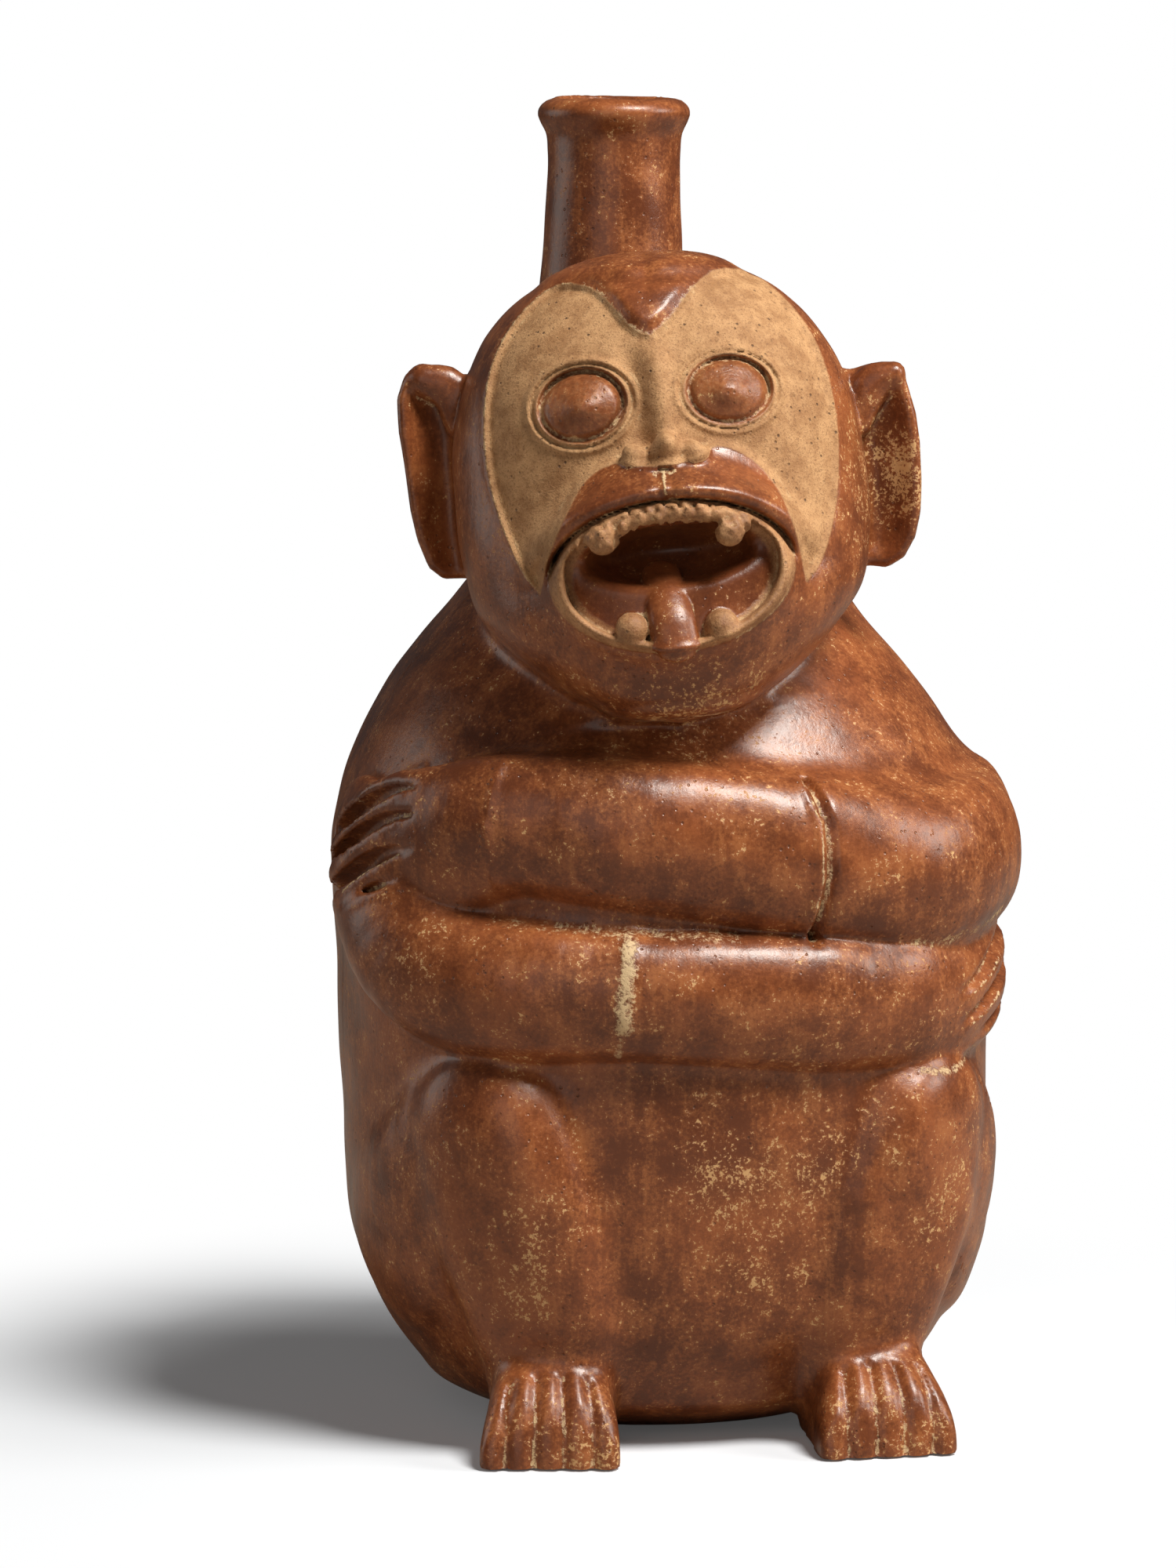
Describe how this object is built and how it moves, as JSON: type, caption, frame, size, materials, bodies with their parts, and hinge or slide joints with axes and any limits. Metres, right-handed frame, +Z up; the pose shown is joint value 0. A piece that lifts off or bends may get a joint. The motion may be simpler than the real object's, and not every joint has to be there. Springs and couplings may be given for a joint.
{
  "type": "monkey effigy vessel",
  "caption": "Hollow ceramic effigy bottle: a seated monkey, arms crossed on its belly and mouth open, with a tubular spout rising behind its turned head.",
  "frame": {"origin": "centre of the flat base slab's underside, on the surface that the vessel stands on", "axes": "+Z up along the body's upright axis, -Y the way the figure's body faces, +X towards the figure's left hand"},
  "size_m": [0.1264, 0.1209, 0.24],
  "materials": {
    "slip": "burnished satin",
    "buff": "matt granular",
    "mouth_slip": "matt"
  },
  "bodies": {
    "root": {"base_disc": "slip", "body_back": "slip", "body_front": "slip", "brow_peak": "slip", "ear_left": "slip", "ear_right": "slip", "eyeball_left": "slip", "eyeball_right": "slip", "eyelid_left": "buff", "eyelid_right": "buff", "foot_left": "slip", "foot_right": "slip", "forearm_left": "slip", "forearm_right": "slip", "hand_left": "slip", "hand_right": "slip", "head_crown": "slip", "head_face": "buff", "leg_left": "slip", "leg_right": "slip", "lip_rim": "buff", "lower_canine_left": "buff", "lower_canine_right": "buff", "mouth_cup": "mouth_slip", "nose": "buff", "spout_lip": "buff", "spout_tube": "slip", "tongue": "mouth_slip", "upper_arm_left": "slip", "upper_arm_right": "slip", "upper_canine_left": "buff", "upper_canine_right": "buff", "upper_teeth": "buff"}
  },
  "joints": []
}
